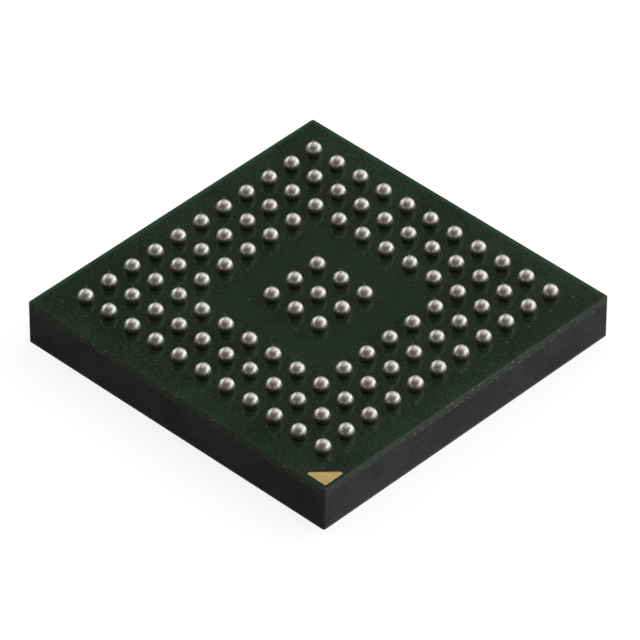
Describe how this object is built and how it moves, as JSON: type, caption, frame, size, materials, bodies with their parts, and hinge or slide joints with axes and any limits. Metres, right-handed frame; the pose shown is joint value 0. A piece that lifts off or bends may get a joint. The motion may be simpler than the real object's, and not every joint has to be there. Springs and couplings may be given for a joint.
{
  "type": "ball grid array chip",
  "caption": "Square black moulded chip lying on its back, with a full frame and centre block of solder balls on its dark green face and a gold corner triangle.",
  "frame": {"origin": "middle of the mould cap's flat face, which the chip lies on", "axes": "+Z from the flat face up to the balls; +X from ball row L to ball row A; +Y from ball column 1 to ball column 11"},
  "size_m": [0.01, 0.01, 0.0016],
  "materials": {
    "mould_compound": "fine matte epoxy",
    "solder_mask": "semi-gloss dark green",
    "copper": "bare copper",
    "laminate_core": "sawn glass epoxy",
    "gold_plate": "satin gold plate",
    "silicon": "polished",
    "adhesive_film": "matte",
    "gold_wire": "bright gold",
    "solder": "satin tin"
  },
  "bodies": {
    "root": {"mould_cap": "mould_compound", "die_side_solder_mask": "solder_mask", "die_side_copper": "copper", "substrate_core": "laminate_core", "via_barrels": "copper", "ball_side_copper": "copper", "ball_side_solder_mask": "solder_mask", "pin_a1_mark": "gold_plate", "silicon_die": "silicon", "die_attach_film": "adhesive_film", "bond_wires_row_a_side": "gold_wire", "bond_wires_column_11_side": "gold_wire", "bond_wires_row_l_side": "gold_wire", "bond_wires_column_1_side": "gold_wire", "solder_balls_row_a": "solder", "solder_balls_row_b": "solder", "solder_balls_row_c": "solder", "solder_balls_row_d": "solder", "solder_balls_row_e": "solder", "solder_balls_row_f": "solder", "solder_balls_row_g": "solder", "solder_balls_row_h": "solder", "solder_balls_row_j": "solder", "solder_balls_row_k": "solder", "solder_balls_row_l": "solder"}
  },
  "joints": []
}
